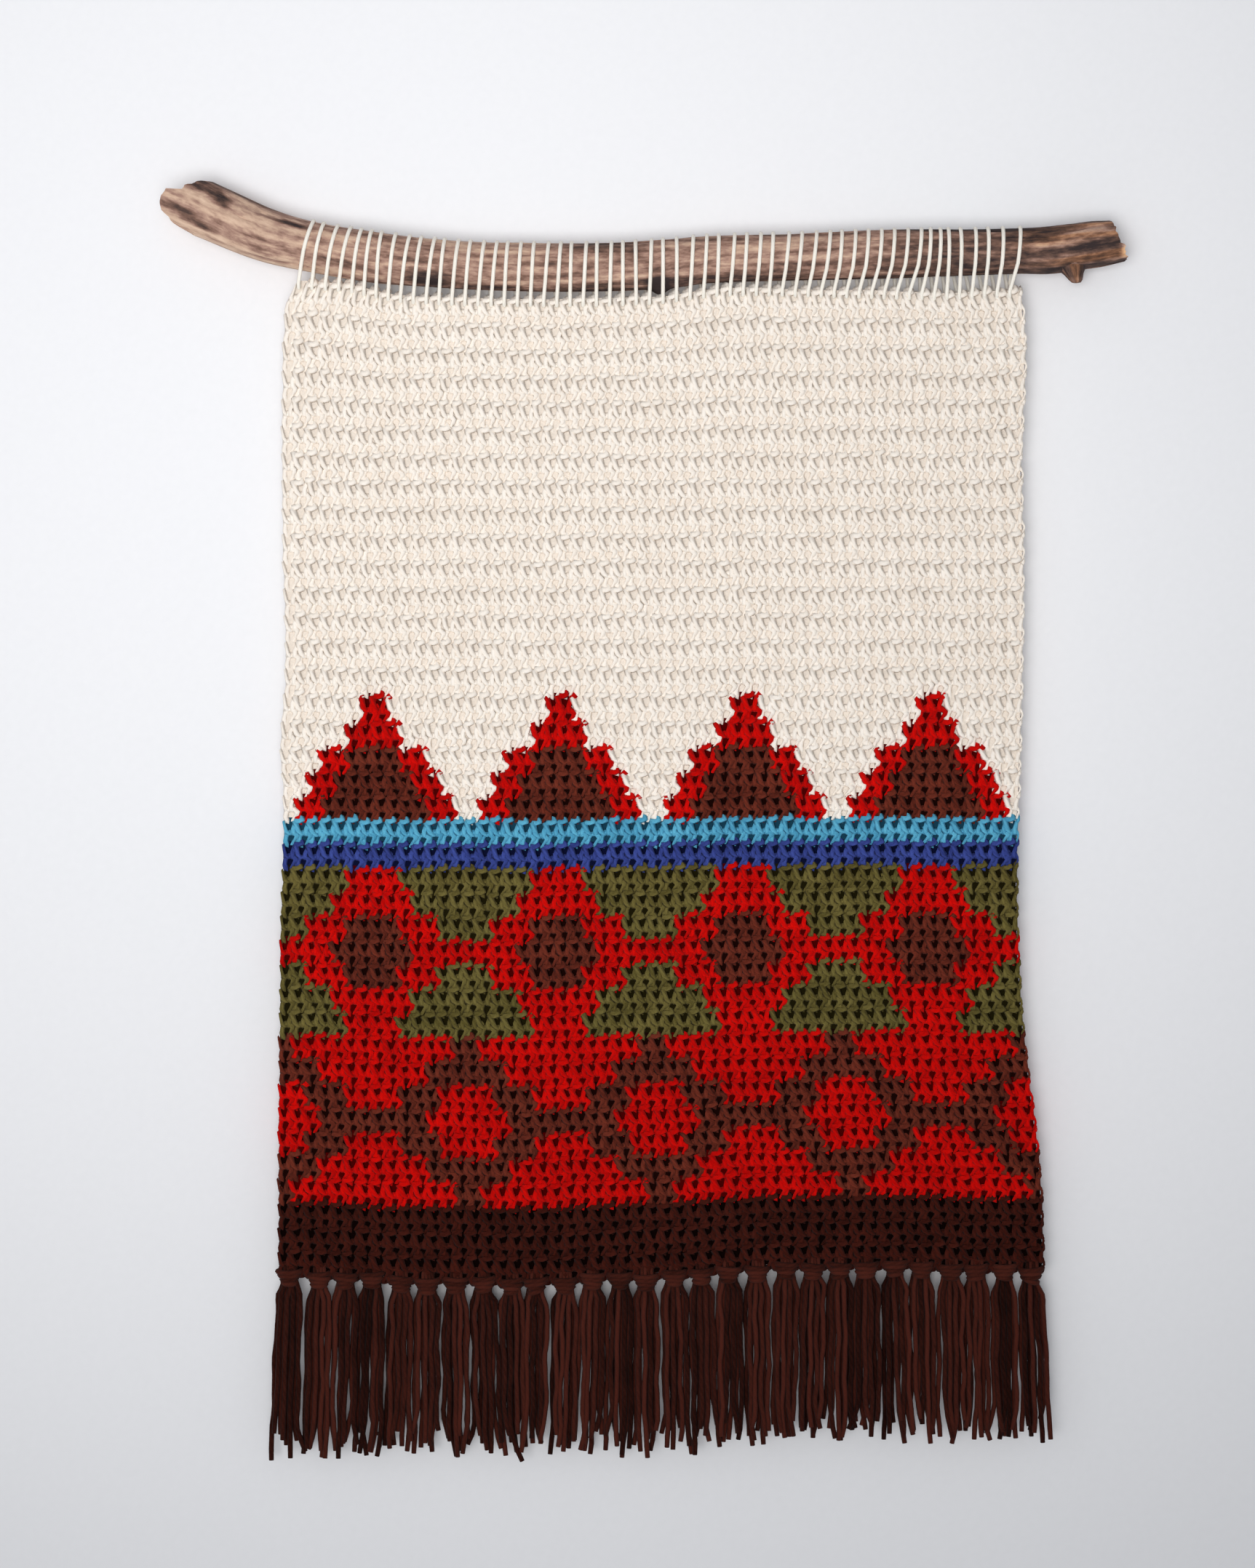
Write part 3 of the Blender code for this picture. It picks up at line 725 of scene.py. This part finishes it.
def stitchTree(group):
    # lays one kind of stitch at each point, picked, tilted and sized by the point's own attributes
    tree = bpy.data.node_groups.new("workStitches", "GeometryNodeTree")
    tree.interface.new_socket("Geometry", in_out="INPUT", socket_type="NodeSocketGeometry")
    tree.interface.new_socket("Geometry", in_out="OUTPUT", socket_type="NodeSocketGeometry")
    net = Net(tree, "")
    points = net.node("NodeGroupInput")
    kinds = net.node("GeometryNodeCollectionInfo", None,
                     {"Collection": group, "Separate Children": True, "Reset Children": False})
    side, tilt, grow = [
        net.node("GeometryNodeInputNamedAttribute", {"data_type": kind}, {"Name": name})
        for name, kind in (("side", "INT"), ("tilt", "FLOAT_VECTOR"), ("grow", "FLOAT_VECTOR"))]
    laid = net.node("GeometryNodeInstanceOnPoints", None, {
        "Points": points, "Instance": kinds, "Pick Instance": True,
        "Instance Index": side, "Rotation": tilt, "Scale": grow})
    real = net.node("GeometryNodeRealizeInstances", None, {"Geometry": laid})
    net.feed(tree.nodes.new("NodeGroupOutput").inputs[0], real)
    return tree


def hang(co):
    # from the flat fabric, in millimetres right and down from its top left corner, to the hanging cloth
    x, y, z = co.T
    width = panel["across"] * cell["pitch"]
    edge = cell["selvedge"] - cell["fuller"] * np.cos(turn * z / (2 * cell["rise"]))
    pull, reach = cell["edgePull"], cell["edgeReach"]
    x = np.where(x < edge, edge - pull * np.tanh((edge - x) / reach), x)
    x = np.where(x > width - edge, width - edge + pull * np.tanh((x - width + edge) / reach), x)
    across = x / width
    down = depthShare(-z / (2 * cell["rise"]))
    # slow waves carry the columns and then the rows a little astray
    sway = 0.35 * np.sin(x * 0.11 + 1.3 * np.sin(z * 0.031)) + 0.25 * np.sin(z * 0.23 + x * 0.017)
    lift = 0.30 * np.sin(x * 0.085 + 0.8 * np.sin(z * 0.05)) + 0.2 * np.sin(x * 0.21 + z * 0.037)
    place = clothPoint(across + sway * 0.35 / width, down)
    place[:, 1] += y * mm * cell["depth"]
    place[:, 2] += mm * lift
    return place


rows = 2 * (panel["upperPairs"] + panel["lowerPairs"])
chart = [[chartYarn(row, column) for column in range(panel["across"])] for row in range(rows)]
colours = np.array(chart)
# light and dark tone of each yarn
wools = {
    "cream": (tint(249, 241, 232), tint(239, 228, 216)),
    "brown": (tint(118, 50, 35), tint(60, 20, 13)),
    "umber": (tint(74, 27, 18), tint(34, 8, 4)),
    "red": (tint(220, 10, 4), tint(152, 1, 1)),
    "olive": (tint(117, 106, 58), tint(65, 57, 22)),
    "royal": (tint(66, 82, 158), tint(34, 42, 98)),
    "sky": (tint(102, 184, 214), tint(56, 130, 166)),
}
# the pieces that the stitches are sorted into: their yarn, first row and end row
stitchParts = {"creamUpper": ("cream", 0, 18), "creamLower": ("cream", 18, rows)}
stitchParts.update({name: (name, 0, rows) for name in wools if name != "cream"})


def stitchPoints(part, name, row, column, nudge, tilt, grow, tone):
    # one point to a stitch, with its kind, tilt, size and tone
    none = np.zeros(len(row))
    points = bpy.data.meshes.new(part)
    points.vertices.add(len(row))
    place = np.stack([(column + 0.5) * cell["pitch"], none, -(row + 1.0) * cell["rise"]], axis=1)
    setCoordinates(points, place + nudge)
    wrongSide = (row + 1) % 2
    beside = column + 2 * wrongSide - 1            # the neighbour that the chain runs on to
    alone = (beside < 0) | (beside >= panel["across"]) | (
        colours[row, np.clip(beside, 0, panel["across"] - 1)] != name)
    setAttribute(points, "side", "INT", "POINT", wrongSide + 2 * alone)
    setAttribute(points, "tilt", "FLOAT_VECTOR", "POINT", np.stack([none, tilt, none], axis=1))
    setAttribute(points, "grow", "FLOAT_VECTOR", "POINT", grow)
    setAttribute(points, "tone", "FLOAT", "POINT", tone)
    return points


def makeStitches():
    uneven = np.random.default_rng(17)
    shape = (rows, panel["across"])
    draws = [uneven.normal(0, 1, shape + (3,)) * cell["jitter"],
             uneven.normal(0, math.radians(cell["tilt"]), shape),
             1 + uneven.normal(0, cell["grow"], shape + (3,)),
             uneven.uniform(0, 1, shape)]
    group = stitchSources()
    bpy.context.scene.collection.children.link(group)
    tree = stitchTree(group)
    made = []
    for part, (name, first, end) in stitchParts.items():
        row, column = np.nonzero(colours[first:end] == name)
        row += first
        points = stitchPoints(part, name, row, column, *(draw[row, column] for draw in draws))
        source = addObject(part + "Points", points)
        source.modifiers.new("stitches", "NODES").node_group = tree
        mesh = bpy.data.meshes.new_from_object(
            source.evaluated_get(bpy.context.evaluated_depsgraph_get()))
        bpy.data.objects.remove(source)
        setCoordinates(mesh, hang(coordinates(mesh)))
        mesh.materials.clear()
        piece = addObject("stitches" + part[0].upper() + part[1:], mesh, yarnMaterials[name])
        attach(piece, "root")
        made.append(piece)
        print(piece.name, len(row), "stitches", len(mesh.polygons), "faces")
    for source in list(group.objects):
        bpy.data.objects.remove(source)
    bpy.data.collections.remove(group)
    return made


# stitches keep their yarn's length in millimetres, so the twist is pitched in millimetres too
yarnMaterials = {name: yarnFinish(name + "Wool", light, dark, pitch=cell["plyPitch"])
                 for name, (light, dark) in wools.items()}
stitchPieces = makeStitches()
print("stitches ready")


# ---- the cloth's own body between the faces of its stitches, in millimetres of the flat fabric, coloured as painted shade for the holes between them
core = dict(
    half=0.7, creamHalf=1.2, widthShare=0.992, lengthShare=0.998, middle=-0.4995,
    # painted shade between the stitches: how much of the yarn's dark tone the core is coloured
    shade=0.24, creamShade=0.98, fuzz=0.25, fuzzScale=900.0,
)


def holeShadeFinish():
    material, net, shader = finish("holeShadeWool", {"Roughness": 0.95, "Specular IOR Level": 0.04})
    fuzz = net.noise(net.node("TexCoord", out="Object"), core["fuzzScale"], 3.0)
    shade = net.attribute("shade", "Color")
    net.feed(shader.inputs["Base Color"], net.blend(fuzz * core["fuzz"], shade, (0, 0, 0, 1)))
    net.bump(shader, fuzz, 0.6, 0.0005)
    return material


def makeGround():
    across = panel["across"]
    bm = bmesh.new()
    bmesh.ops.create_grid(bm, x_segments=across, y_segments=rows, size=0.5)
    back = bmesh.ops.extrude_face_region(bm, geom=bm.faces[:])["geom"]
    bm.verts.index_update()
    behind = {v.index for v in back if isinstance(v, bmesh.types.BMVert)}
    mesh = bpy.data.meshes.new("panelCloth")
    bmesh.ops.recalc_face_normals(bm, faces=bm.faces)
    bm.to_mesh(mesh)
    bm.free()
    co = coordinates(mesh)
    side = np.array([1.0 if i in behind else -1.0 for i in range(len(co))])
    # the core is fuller where all the stitches round a corner are cream
    pale = np.pad(colours == "cream", 1, mode="edge")
    below = np.rint((0.5 - co[:, 1]) * rows).astype(int)
    right = np.rint((0.5 + co[:, 0]) * across).astype(int)
    allPale = (pale[below, right] & pale[below, right + 1]
               & pale[below + 1, right] & pale[below + 1, right + 1])
    half = np.where(allPale, core["creamHalf"], core["half"])
    centres = np.array([(p.center.x, p.center.y) for p in mesh.polygons])
    column = np.clip(((centres[:, 0] + 0.5) * across).astype(int), 0, across - 1)
    row = np.clip(((0.5 - centres[:, 1]) * rows).astype(int), 0, rows - 1)
    holeShades = {}
    # each yarn's core is a share of its dark tone: painted shade seen through the holes
    for name, (light, dark) in wools.items():
        shade = core["creamShade"] if name == "cream" else core["shade"]
        holeShades[name] = [v * shade for v in dark[:3]] + [1]
    width, length = across * cell["pitch"], rows * cell["rise"]
    flat = np.stack([(co[:, 0] * core["widthShare"] + 0.5) * width, side * half,
                     (co[:, 1] * core["lengthShare"] + core["middle"]) * length], axis=1)
    setCoordinates(mesh, hang(flat))
    setAttribute(mesh, "shade", "FLOAT_COLOR", "FACE", [holeShades[name] for name in colours[row, column]])
    return addObject("panelCloth", mesh, holeShadeFinish())


cloth = makeGround()
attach(cloth, "root")
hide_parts("panel")
print("cloth ready")


# ---- fringe: lark's heads of four folded yarns, eight strands from each
fringe = dict(
    tassels=28, strands=8, yarn=0.0027, rounds=1, headJitter=0.0005, liftJitter=0.0006,
    # each head's folds, one under another: half their width and how far below the edge they lie
    folds=[(0.0068, 0.0002), (0.0060, 0.0022), (0.0049, 0.0042), (0.0042, 0.0062)],
    foldStops=9, foldArc=1.3, foldFront=0.0044, foldSag=0.0007, foldJitter=0.0002, foldLean=0.0004,
    foldWidth=1.04, foldEnd=0.9, foldTone=0.4,
    # a strand's way over the edge: its place across for each lane, behind, above the edge
    over=[(0.0014, 0, 0.0044), (0.0016, 0.0026, 0.0030), (0.0018, 0.0022, -0.0020)],
    overWidth=0.8, rootLane=0.0021, rootJitter=0.0004, firstWidths=[0.92, 0.98], tipWidths=[1.03, 0.96],
    # the strands below their knot
    strandTop=0.0066, stops=22, layer=0.0017, fill=0.93, spreadDrop=(0.0040, 0.0105), fan=0.0050,
    wave=0.0016, waveLength=0.11, drift=0.0007, sway=(0.0002, 0.0006),
    kick=0.0020, kickFrom=0.80, kickOver=0.20, endJitter=0.0095,
)
fringeEnd = curveOf([(-0.200, -0.6285), (0.0, -0.6260), (0.100, -0.6190), (0.215, -0.6210)])


def foldPath(x, edge, half, drop, lean, lift):
    # one bight across the front of a head, its ends turned in behind
    path = []
    for step in range(fringe["foldStops"]):
        a = math.pi * (step / (fringe["foldStops"] - 1) * fringe["foldArc"] - 0.15)
        path.append((x - half * math.cos(a), edge[1] - fringe["foldFront"] * math.sin(a),
                     edge[2] + lift - drop + lean * math.cos(a) + fringe["foldSag"] * (1 - math.sin(a))))
    return path


def strandPath(x, root, y, top, end, uneven):
    # one hanging end, from under the knot down to its cut tip
    across = (x - bottomEdge[0][0]) / (bottomEdge[-1][0] - bottomEdge[0][0])
    lowX = x + fringe["wave"] * math.sin(turn * x / fringe["waveLength"] + 40 * y)
    lowX += fringe["fan"] * (2 * across - 1) ** 7
    lowX += uneven.gauss(0, fringe["drift"])
    phases = [uneven.uniform(0, turn) for _ in range(4)]
    sway = uneven.uniform(*fringe["sway"])
    kick = uneven.gauss(0, fringe["kick"])
    drop = uneven.uniform(*fringe["spreadDrop"])
    path = []
    for i in range(fringe["stops"]):
        share = i / (fringe["stops"] - 1)
        share = share * (0.55 + 0.45 * share)          # closer together near the knot
        z = mix(top, end, share)
        spread = min(share * (top - end) / drop, 1.0)
        spread = spread * spread * (3 - 2 * spread)
        px = mix(root, mix(x, lowX, share), spread)
        px += sway * spread * math.sin(turn * share * 2.1 + phases[0])
        px += 0.35 * sway * spread * math.sin(turn * share * 5.3 + phases[1])
        px += kick * max(share - fringe["kickFrom"], 0) ** 1.5 / fringe["kickOver"] ** 1.5
        py = y * (0.75 + 0.25 * spread) + 0.0006 * spread * math.sin(turn * share * 1.7 + phases[2])
        path.append((px, panel["middleY"] + py, z))
    return path


def makeFringe():
    uneven = random.Random(11)
    paths, widths, tones = [], [], []
    first, last = bottomEdge[0][0], bottomEdge[-1][0]
    pitch = (last - first) / fringe["tassels"]
    radius = fringe["yarn"] / 2
    for index in range(fringe["tassels"]):
        x = first + (index + 0.5) * pitch
        edge = clothPoint((x - first) / (last - first), 1.0)
        x += uneven.gauss(0, fringe["headJitter"])
        drift = edge[1] - panel["middleY"]
        lift = uneven.gauss(0, fringe["liftJitter"])
        for half, drop in fringe["folds"]:
            half += uneven.gauss(0, fringe["foldJitter"]) - radius * 0.5
            lean = uneven.gauss(0, fringe["foldLean"])
            path = foldPath(x, edge, half, drop, lean, lift)
            paths.append(path)
            ends = [fringe["foldEnd"]]
            widths.append(ends + [fringe["foldWidth"]] * (len(path) - 2) + ends)
            tones.append(uneven.uniform(fringe["foldTone"], 1))
        for j in range(fringe["strands"]):
            layer, column = j % 2, j // 2
            lane = column - 1.5 + (0.5 - layer) / 2
            root = x + lane * fringe["rootLane"] + uneven.gauss(0, fringe["rootJitter"])
            side = 2 * layer - 1
            end = float(fringeEnd(x)) + uneven.triangular(-1, 1, 0.1) * fringe["endJitter"]
            path = strandPath(x + lane * pitch / 4 * fringe["fill"], root, drift + side * fringe["layer"],
                              edge[2] - fringe["strandTop"], end, uneven)
            over = [(x + lane * out, edge[1] + side * behind, edge[2] + up)
                    for out, behind, up in fringe["over"]]
            paths.append(over + path)
            widths.append([fringe["overWidth"]] * len(over) + fringe["firstWidths"]
                          + [1.0] * (len(path) - 4) + fringe["tipWidths"])
            tones.append(uneven.uniform(0, 1))
    mesh = yarnTubes("fringeTassels", [np.array(p) for p in paths], radius, fringe["rounds"], widths)
    counts = [len(p) * cornersRound(fringe["rounds"]) for p in paths]
    setAttribute(mesh, "tone", "FLOAT", "POINT", np.repeat(tones, counts))
    return mesh


# the fringe's ply grooves get less painted shade, and its strands differ more in tone
fringeFinish = yarnFinish("fringeWool", tint(78, 34, 25), tint(18, 3, 1), ply=0.10, tones=0.6)
fringePiece = addObject("fringeTassels", makeFringe(), fringeFinish)
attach(fringePiece, "root")
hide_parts(*[f"tassel_{i + 1:02d}" for i in range(fringe["tassels"])])
print("fringe ready")
